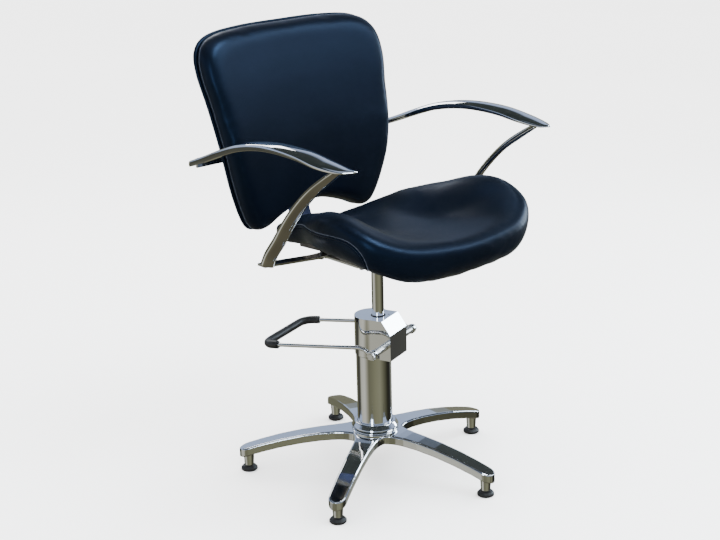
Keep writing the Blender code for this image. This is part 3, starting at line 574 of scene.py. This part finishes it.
def set_coordinates(mesh, points):
    mesh.vertices.foreach_set("co", np.ascontiguousarray(points, float).ravel())
    mesh.update()


def smooth_mesh(piece, factor, repeats):
    modifier = piece.modifiers.new("smooth", "SMOOTH")
    modifier.factor = factor
    modifier.iterations = repeats
    return apply_modifiers(piece)


def inflate(piece):
    """Cloth under pressure with no gravity, each point moved by at most CLOTH_CAP."""
    before = coordinates(piece.data)
    cloth = piece.modifiers.new("cloth", "CLOTH")
    settings = cloth.settings
    settings.use_pressure = True
    settings.uniform_pressure_force = CLOTH_PRESSURE
    settings.effector_weights.gravity = 0.0
    settings.quality = 5
    settings.tension_stiffness = settings.compression_stiffness = 25.0
    settings.bending_stiffness = 2.0
    cloth.collision_settings.use_collision = False
    scene = bpy.context.scene
    scene.frame_start = 1
    scene.frame_end = CLOTH_FRAMES
    for frame_number in range(1, CLOTH_FRAMES + 1):
        scene.frame_set(frame_number)
    apply_modifiers(piece)
    moved = coordinates(piece.data) - before
    length = np.linalg.norm(moved, axis=1, keepdims=True)
    moved *= np.minimum(1.0, CLOTH_CAP / np.maximum(length, 1e-9))
    set_coordinates(piece.data, before + moved)
    scene.frame_set(1)


def subdivide(piece):
    modifier = piece.modifiers.new("fine", "SUBSURF")
    modifier.levels = modifier.render_levels = 1
    return apply_modifiers(piece)


def puff(piece, material):
    """The whole cushion recipe."""
    remesh(piece, VOXEL)
    smooth_mesh(piece, 0.5, SMOOTHINGS)
    inflate(piece)
    smooth_mesh(piece, 0.5, SMOOTHINGS)
    return dress(subdivide(piece), material)


def pressed_seam(piece, path, width, depth, towards):
    """Sinks the surface along a seam: points within width of the path move along towards."""
    points = coordinates(piece.data)
    lines = np.array(path)
    nearest = np.empty(len(points))
    for start in range(0, len(points), POINTS_AT_ONCE):
        block = points[start : start + POINTS_AT_ONCE]
        gap = np.linalg.norm(block[:, None, :] - lines[None, :, :], axis=2).min(axis=1)
        nearest[start : start + POINTS_AT_ONCE] = gap
    sink = depth * np.exp(-((nearest / width) ** 2))
    set_coordinates(piece.data, points + sink[:, None] * np.array(towards))


def board_height(share, row):
    """The board's top under the cushion, turned up towards the cushion's bottom edge."""
    return BOARD_TOP + (row[3] + 0.004 - BOARD_TOP) * (share / BOARD_REACH) ** 4


def cushion_height(share, row):
    """The dished top: level in the middle, rising to the rim."""
    rise = min(max((share - 0.25) / 0.63, 0.0), 1.0)
    return SEAT_DISH + (row[2] - SEAT_DISH) * rise * rise * (3 - 2 * rise)


def seat_point(share, row, height):
    plan = SEAT_CENTRE + (row[:2] - SEAT_CENTRE) * share
    return (plan[0], plan[1] + AHEAD, height)


def seat_loops():
    """Rings from the middle of the top, over the rim, and under to the board."""
    outline = closed_half(SEAT_HALF, 6)
    top = (0.02, 0.12, 0.25, 0.37, 0.49, 0.6, 0.7, 0.79, 0.86, 0.91)
    rows = [(share, cushion_height) for share in top]
    rim = ((0.955, 0.94), (0.982, 0.84), (0.990, 0.66), (0.984, 0.46), (0.965, 0.28), (0.93, 0.12))
    for share, part in rim:
        rows.append((share, lambda share, row, part=part: row[2] * part + row[3] * (1 - part)))
    rows.append((0.88, lambda share, row: row[3] + 0.002))
    rows.append((0.83, lambda share, row: row[3] + 0.003))
    for share in (BOARD_REACH, 0.65, 0.5, 0.3, 0.1):
        rows.append((share, lambda share, row: board_height(share, row) + 0.001))
    return [[seat_point(share, row, height(share, row)) for row in outline] for share, height in rows]


def side_seam(side):
    """The seam between the seat's top cover and its side panel."""
    return [(side * x, y + AHEAD, z) for x, y, z in smooth_row(SIDE_SEAM, 8)]


def onto_surface(piece, path, proud):
    """The path moved onto the piece's surface, and proud of it."""
    tree = bvh(piece)
    out = []
    for point in path:
        place, normal, _, _ = tree.find_nearest(Vector(point))
        out.append(place + normal * proud)
    return smooth_points(out, 6)


def smooth_points(points, repeats):
    points = [Vector(point) for point in points]
    for _ in range(repeats):
        inner = [(points[k - 1] + points[k] * 2 + points[k + 1]) / 4 for k in range(1, len(points) - 1)]
        points = [points[0]] + inner + [points[-1]]
    return points


def bvh(piece):
    shape = bmesh.new()
    shape.from_mesh(piece.data)
    tree = BVHTree.FromBMesh(shape)
    shape.free()
    return tree


def make_seat(vinyl, thread):
    seat = puff(new_piece("seat_pad", loft(seat_loops()), vinyl), vinyl)
    for side, name in ((-1, "right"), (1, "left")):
        route = onto_surface(seat, side_seam(side), 0.0)
        pressed_seam(seat, route, 0.0045, 0.0022, (-side * 0.8, 0.0, -0.6))
        cord = tube(onto_surface(seat, route, 0.0004), SEAT_PIPING)
        stand_for(new_piece(f"seat_piping_{name}", cord, vinyl), "seat", "vinyl")
        stitches = stitch_line(seat, route, side)
        stand_for(new_piece(f"seat_stitching_{name}", stitches, thread), "seat", "vinyl")
    stand_for(seat, "seat", "vinyl", "seat_cushion")


def stitch_line(piece, route, side):
    """Short stitches beside a seam, lying on the surface."""
    tree = bvh(piece)
    shape = bmesh.new()
    beside = []
    for k, point in enumerate(route):
        along = (route[min(k + 1, len(route) - 1)] - route[max(k - 1, 0)]).normalized()
        _, normal, _, _ = tree.find_nearest(point)
        place, normal, _, _ = tree.find_nearest(point + along.cross(normal) * STITCH_OFFSET * side)
        beside.append(place + normal * STITCH_PROUD)
    for start, end in zip(beside, beside[1:]):
        add_stitches(shape, start, end)
    return shape


def add_stitches(shape, start, end):
    """Two stitches with gaps between them, from start towards end."""
    for share in (0.0, 0.5):
        add_capsule(shape, start.lerp(end, share), start.lerp(end, share + STITCH_SHARE))


def add_capsule(shape, low, high):
    """One stitch: a small six-sided bar between two points."""
    along = (high - low).normalized()
    side = along.orthogonal().normalized()
    across = along.cross(side)
    rings = []
    for point in (low, low.lerp(high, 0.5), high):
        rings.append(ring_round(shape, point, side, across, STITCH_RADIUS, STITCH_SIDES))
    for first, second in zip(rings, rings[1:]):
        bridge(shape, first, second)
    shape.faces.new(rings[0][::-1])
    shape.faces.new(rings[-1])


# --- Back --------------------------------------------------------------------------------------------


def smooth_lean(z):
    """Depth of the back's rear surface at its sides, with the lean's corners rounded."""
    heights, depths = zip(*BACK_LEAN)
    return np.mean([np.interp(z + step * LEAN_STEP, heights, depths) for step in range(-3, 4)])


def back_point(share, row, depth):
    x, z = BACK_CENTRE + (row - BACK_CENTRE) * share
    wrap = BACK_WRAP * (1 - min(abs(x) / BACK_SIDE, 1.0) ** 2)
    return (x, smooth_lean(z) + wrap - depth + AHEAD, z)


def back_loops(rows, per_span=6):
    outline = closed_half(BACK_HALF, per_span)
    return [[back_point(share, row, depth) for row in outline] for share, depth in rows]


def pad_rows():
    """The front pad from its middle, round its edge, to its rear: share of the outline, depth."""
    low = SHELL_THICK + BOARD_THICK + 0.001
    rows = [(share, BACK_THICK - 0.002) for share in (0.02, 0.2, 0.4, 0.6, 0.75, 0.86)]
    rows += [(0.925, BACK_THICK - 0.004), (0.962, BACK_THICK - 0.011), (0.982, BACK_THICK - 0.022)]
    rows += [(0.990, 0.029), (0.993, 0.021), (0.990, 0.0135), (0.979, 0.0105), (0.962, 0.0110)]
    return rows + [(0.93, low + 0.001)] + [(share, low) for share in (0.88, 0.7, 0.5, 0.3, 0.1)]


def make_back(vinyl, thread):
    pad = puff(new_piece("back_pad", loft(back_loops(pad_rows())), vinyl), vinyl)
    tree = bvh(pad)
    seam = back_loops([(0.9935, 0.0125)], 10)[0]
    route = [tree.find_nearest(Vector(point))[0] for point in seam]
    piping = new_piece("back_piping", tube(route, BACK_PIPING, 8, closed=True), vinyl)
    stand_for(piping, "seat", "vinyl")
    stand_for(new_piece("back_stitching", edge_stitches(tree, route), thread), "seat", "vinyl")
    stand_for(pad, "seat", "vinyl", "back_cushion")
    make_side_band(vinyl)
    make_back_shell(vinyl)


def edge_stitches(tree, route):
    """Stitches in front of the back's piping, all the way round."""
    shape = bmesh.new()
    forward = Vector((0.0, -0.0052, 0.0))
    for k, point in enumerate(route):
        after = route[(k + 1) % len(route)]
        place, normal, _, _ = tree.find_nearest(point + forward)
        other, turned, _, _ = tree.find_nearest(after + forward)
        add_stitches(shape, place + normal * STITCH_PROUD, other + turned * STITCH_PROUD)
    return shape


def make_side_band(vinyl):
    """The strip sewn round the edge of the back, between the front pad and the rear shell."""
    shape = bmesh.new()
    rings = [[shape.verts.new(point) for point in loop] for loop in back_loops(BAND_SECTION)]
    for near, far in zip(rings, rings[1:] + rings[:1]):
        bridge(shape, near, far)
    band = subdivide(new_piece("back_side_band", shape, vinyl))
    stand_for(band, "seat", "vinyl")


def make_back_shell(vinyl):
    """The vinyl-covered rear panel: a shallow crowned sheet with a rolled edge."""
    rows = [(share, SHELL_THICK - 0.0002) for share in (0.02, 0.3, 0.6, 0.85, 0.955)]
    rows += [(0.972, SHELL_THICK - 0.0006), (0.978, 0.0024), (0.975, 0.0009), (0.968, 0.0002)]
    rows += [(share, 0.0) for share in (0.94, 0.85, 0.6, 0.3, 0.02)]
    panel = new_piece("back_shell", loft(back_loops(rows)), vinyl)
    stand_for(panel, "seat", "vinyl", "back_panel")


# --- Arms --------------------------------------------------------------------------------------------


def ribbon(stations, side, crown, roll=0.0, segments=40, per_span=12):
    """A flattened bar through rows of y, z, x, half width and half thickness, crowned and rolled."""
    rows = smooth_row(stations, per_span)
    loops = []
    for k, (y, z, x, half_width, half_thick) in enumerate(rows):
        ahead = rows[min(k + 1, len(rows) - 1)][:2] - rows[max(k - 1, 0)][:2]
        ahead /= np.linalg.norm(ahead)
        normal = np.array((-ahead[1], ahead[0]))
        normal *= np.sign(normal[1])
        loop = []
        for step in range(segments):
            angle = math.tau * step / segments
            share = math.copysign(abs(math.cos(angle)) ** 0.7, math.cos(angle))
            lift = math.copysign(abs(math.sin(angle)) ** 0.7, math.sin(angle)) * half_thick
            lift += crown * half_thick * (1 - share**2)
            across = share * half_width * math.cos(roll) - lift * math.sin(roll)
            up = share * half_width * math.sin(roll) + lift * math.cos(roll)
            loop.append((side * (x + across), y + normal[0] * up + AHEAD, z + normal[1] * up))
        loops.append(loop)
    return loft(loops)


def cad_copy(node, name, material):
    """A new piece that starts from a CAD node's shape."""
    piece = bpy.data.objects.new(name, CAD_PARTS[node].data.copy())
    bpy.context.scene.collection.objects.link(piece)
    return dress(piece, material)


def soften(piece, width, segments=2):
    """Welds the copy, rounds its edges, and shades it smooth with its flats kept flat."""
    weld = piece.modifiers.new("weld", "WELD")
    weld.merge_threshold = 0.00002
    bevel = piece.modifiers.new("bevel", "BEVEL")
    bevel.width = width
    bevel.segments = segments
    bevel.limit_method = "ANGLE"
    bevel.angle_limit = math.radians(35)
    weighted = piece.modifiers.new("weighted", "WEIGHTED_NORMAL")
    weighted.weight = 100
    weighted.thresh = 0.0001
    piece.data.shade_smooth()
    return apply_modifiers(piece)


def arm_foot(name, side):
    """The flat bar under the board: level at its bolt, then rising to the strut."""
    low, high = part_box(name.replace("arm", "arm_bolt"))
    middle = (low.y + high.y) / 2
    near, far = middle - FOOT_HALF, middle + FOOT_HALF
    under = low.z + FOOT_LIFT
    over = under + FOOT_THICK
    loops = []
    for x, rise in FOOT:
        corners = ((near, under), (far, under), (far, over), (near, over))
        loops.append([(side * x, y, z + rise) for y, z in corners])
    return loft(loops)


def make_arm(name, side, chrome):
    """Blade and strut as fine ribbons, with the flat foot below and the lug behind the back."""
    blade = new_piece(f"{name}_blade", ribbon(BLADE, side, 0.5), chrome)
    stand_for(blade, "seat", "chrome", name)
    strut = new_piece(f"{name}_strut", ribbon(STRUT, side, 0.1, STRUT_ROLL), chrome)
    stand_for(strut, "seat", "chrome")
    foot = new_piece(f"{name}_foot", arm_foot(name, side), chrome)
    soften(foot, 0.0012, 3)
    stand_for(foot, "seat", "chrome")
    first, second = [(side * x, y + AHEAD, z) for x, y, z in LUG]
    stand_for(block_piece(f"{name}_lug", first, second, chrome), "seat", "chrome")


def block_piece(name, first, second, material):
    """A rectangular bar with rounded edges between two corners."""
    low = Vector(min(pair) for pair in zip(first, second))
    high = Vector(max(pair) for pair in zip(first, second))
    shape = bmesh.new()
    bmesh.ops.create_cube(shape, size=1.0)
    place = Matrix.Translation((low + high) / 2) @ Matrix.Diagonal((*(high - low), 1.0))
    bmesh.ops.transform(shape, matrix=place, verts=shape.verts)
    return soften(new_piece(name, shape, material), 0.0012, 3)


# --- Base and pump -----------------------------------------------------------------------------------


def make_star(alloy):
    """The star casting: the CAD shape remeshed finely, so that its edges become soft polished ones."""
    star = cad_copy("star_base", "star_casting", alloy)
    remesh(star, 0.0010)
    smooth_mesh(star, 0.5, 9)
    stand_for(dress(star, alloy), "base", "polished_alloy", "star_base")


def lathe(name, profile, centre, material, segments=96):
    """A round piece from (radius, height) rows, from the bottom up."""
    loops = []
    for radius, height in profile:
        loop = []
        for step in range(segments):
            angle = math.tau * step / segments
            loop.append((centre.x + radius * math.cos(angle), centre.y + radius * math.sin(angle), height))
        loops.append(loop)
    piece = new_piece(name, loft(loops), material)
    piece.data.set_sharp_from_angle(angle=math.radians(40))
    return piece


def make_cylinder(chrome):
    low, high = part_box("pump_cylinder")
    radius = (high.x - low.x) / 2
    profile = [(radius - 0.001, low.z), (radius, low.z + 0.001)]
    profile += [(radius, high.z - 0.0012), (radius - 0.0012, high.z)]
    stand_for(lathe("pump_tube", profile, PUMP, chrome), "base", "chrome", "pump_cylinder")


def make_rod(chrome):
    low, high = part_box("piston_rod")
    radius = (high.x - low.x) / 2
    profile = [(radius * 0.57, low.z), (radius * 0.57, low.z + 0.0315)]
    profile += [(radius - 0.001, low.z + 0.032), (radius, low.z + 0.033)]
    profile += [(radius, high.z - 0.001), (radius - 0.001, high.z)]
    stand_for(lathe("lift_rod", profile, SWIVEL, chrome), "seat", "chrome", "piston_rod")


def make_softened(chrome, cast, dark):
    """Hard pieces that keep their CAD shape and gain rounded edges."""
    for node, name, body, slot, material, width in (
        ("head_cover", "head_casing", "base", "chrome", chrome, 0.0009),
        ("valve_block", "valve_casting", "base", "cast_iron", cast, 0.0010),
        ("back_bracket", "back_bar", "seat", "blued_steel", dark, 0.0012),
    ):
        stand_for(soften(cad_copy(node, name, material), width), body, slot, node)


def make_spring(steel):
    """The plunger's spring: it stands in the valve block, on a mesh of its own. The real one shortens as the
    plunger goes down.
    """
    spring = cad_copy("plunger_spring", "return_spring", steel)
    stand_for(spring, "base", "bright_steel", "plunger_spring")
    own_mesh(spring)


def smooth_copy(node, name, body, slot, material, voxel, repeats):
    """A piece remeshed from its CAD shape, which irons out its flats."""
    piece = remesh(cad_copy(node, name, material), voxel)
    smooth_mesh(piece, 0.5, repeats)
    return stand_for(dress(piece, material), body, slot, node)


def dress_cad(materials):
    """The CAD nodes that stay get their procedural materials, by the record's slots."""
    for node, part in CAD_PARTS.items():
        dress(part, materials[SLOT_OF[node]])


# --- Studio ------------------------------------------------------------------------------------------


def make_camera():
    data = bpy.data.cameras.new("camera")
    data.lens = CAMERA_LENS
    data.sensor_width = 36.0
    camera = bpy.data.objects.new("camera", data)
    right, up = Vector(CAMERA_RIGHT), Vector(CAMERA_UP)
    turn = Matrix((right, up, right.cross(up))).transposed()
    camera.matrix_world = Matrix.Translation(CAMERA_PLACE) @ turn.to_4x4()
    bpy.context.scene.collection.objects.link(camera)
    bpy.context.scene.camera = camera


def area_light(name, place, aim, size, power, colour=(1.0, 1.0, 1.0)):
    data = bpy.data.lights.new(name, "AREA")
    data.shape = "RECTANGLE"
    data.size, data.size_y = size
    data.energy = power
    data.color = colour
    light = bpy.data.objects.new(name, data)
    light.location = place
    light.rotation_euler = (Vector(aim) - Vector(place)).to_track_quat("-Z", "Y").to_euler()
    bpy.context.scene.collection.objects.link(light)


def make_floor():
    shape = bmesh.new()
    bmesh.ops.create_grid(shape, x_segments=1, y_segments=1, size=12.0)
    pale, paler = (0.93, 0.93, 0.93), (0.96, 0.96, 0.96)
    shader = Shader("pale_floor", pale, 0.9)
    tone = shader.noise(0.6)
    shader.paint(shader.colours(tone.outputs["Fac"], (0.3, pale), (0.7, paler)))
    floor = new_piece("studio_floor", shape, shader.material)
    floor.location.z = -0.0005
    floor.visible_glossy = False


def make_world():
    """White light all round, except that reflections see olive and dark panels under a banded sky."""
    world = bpy.data.worlds.new("studio")
    bpy.context.scene.world = world
    world.use_nodes = True
    nodes, links = world.node_tree.nodes, world.node_tree.links
    background = nodes["Background"]
    links.new(panel_colour(nodes, links), background.inputs["Color"])
    background.inputs["Strength"].default_value = PANEL_STRENGTH
    plain = nodes.new("ShaderNodeBackground")
    plain.inputs["Color"].default_value = (1.0, 1.0, 1.0, 1.0)
    plain.inputs["Strength"].default_value = PLAIN_STRENGTH
    path = nodes.new("ShaderNodeLightPath")
    chosen = nodes.new("ShaderNodeMixShader")
    links.new(path.outputs["Is Glossy Ray"], chosen.inputs["Fac"])
    links.new(plain.outputs["Background"], chosen.inputs[1])
    links.new(background.outputs["Background"], chosen.inputs[2])
    links.new(chosen.outputs["Shader"], nodes["World Output"].inputs["Surface"])


def panel_colour(nodes, links):
    """The colour in each direction: side panels by the turn about Z, sky bands by the height."""
    place = nodes.new("ShaderNodeTexCoord")
    split = nodes.new("ShaderNodeSeparateXYZ")
    links.new(place.outputs["Generated"], split.inputs["Vector"])
    turn = nodes.new("ShaderNodeMath")
    turn.operation = "ARCTAN2"
    links.new(split.outputs["Y"], turn.inputs[0])
    links.new(split.outputs["X"], turn.inputs[1])
    around = share_of_range(nodes, links, turn.outputs["Value"], math.pi)
    height = share_of_range(nodes, links, split.outputs["Z"], 1.0)
    mixed = nodes.new("ShaderNodeMix")
    mixed.data_type = "RGBA"
    links.new(world_ramp(nodes, links, height, SKY_COVER), mixed.inputs["Factor"])
    links.new(world_ramp(nodes, links, around, SIDE_PANELS), mixed.inputs["A"])
    links.new(world_ramp(nodes, links, height, SKY_BANDS), mixed.inputs["B"])
    return mixed.outputs["Result"]


def share_of_range(nodes, links, value, limit):
    """The value, between -limit and limit, as a share from 0 to 1."""
    node = nodes.new("ShaderNodeMapRange")
    node.inputs["From Min"].default_value = -limit
    node.inputs["From Max"].default_value = limit
    links.new(value, node.inputs["Value"])
    return node.outputs["Result"]


def world_ramp(nodes, links, value, stops):
    node = nodes.new("ShaderNodeValToRGB")
    fill_ramp(node.color_ramp, stops)
    links.new(value, node.inputs["Fac"])
    return node.outputs["Color"]


def make_lights():
    chair = (0.0, 0.0, 0.75)
    area_light("overhead", (0.5, -0.9, 3.0), chair, (1.0, 1.0), 70, (0.80, 0.91, 1.0))
    area_light("front_right", (2.1, -1.9, 2.9), chair, (1.4, 1.2), 42, (0.80, 0.91, 1.0))
    area_light("left", (-2.7, -1.5, 1.7), chair, (0.5, 1.6), 30, (0.75, 0.88, 1.0))
    area_light("right", (2.8, -0.5, 1.1), chair, (0.5, 1.5), 36, (0.75, 0.88, 1.0))
    area_light("rear", (0.6, 2.6, 2.2), chair, (1.4, 0.8), 20)


def slot_materials():
    """The material of each slot in the record."""
    dark, light = (0.0004, 0.0007, 0.0016), (0.0007, 0.0012, 0.0028)
    return {
        "vinyl": vinyl_material("dark_vinyl", dark, light, 0.36),
        "chrome": chrome_material("chrome", (0.88, 0.885, 0.89), 0.035),
        "polished_alloy": chrome_material("polished_alloy", (0.86, 0.87, 0.88), 0.06, 0.05),
        "rubber": cast_material("black_rubber", (0.0015, 0.0015, 0.0018), 0.4, 0.0, 900.0, 0.0004),
        "cast_iron": cast_material("cast_iron", (0.05, 0.05, 0.055), 0.55, 0.8, 500.0, 0.0008),
        "blued_steel": cast_material("blued_steel", (0.012, 0.02, 0.055), 0.32, 0.3, 1500.0, 0.0002),
        "black_screw": cast_material("black_screw", (0.02, 0.02, 0.022), 0.4, 0.6, 1500.0, 0.0002),
        "bright_steel": brushed_material("bright_steel", (0.66, 0.67, 0.68), 0.3),
        "bronze": brushed_material("bronze", (0.62, 0.42, 0.20), 0.32),
        "plywood": plywood_material(),
    }


def main():
    make_camera()
    make_world()
    make_lights()
    make_floor()
    materials = slot_materials()
    thread = thread_material()
    vinyl, chrome, rubber = materials["vinyl"], materials["chrome"], materials["rubber"]
    dress_cad(materials)
    make_star(materials["polished_alloy"])
    make_cylinder(chrome)
    make_rod(chrome)
    make_softened(chrome, materials["cast_iron"], materials["blued_steel"])
    make_spring(materials["bright_steel"])
    smooth_copy("pedal_bar", "pedal_rod", "pedal", "chrome", chrome, 0.0008, 10)
    smooth_copy("pedal_sleeve", "pedal_grip", "pedal", "rubber", rubber, 0.0010, 10)
    make_arm("arm_left", 1, chrome)
    make_arm("arm_right", -1, chrome)
    make_seat(vinyl, thread)
    make_back(vinyl, thread)


main()
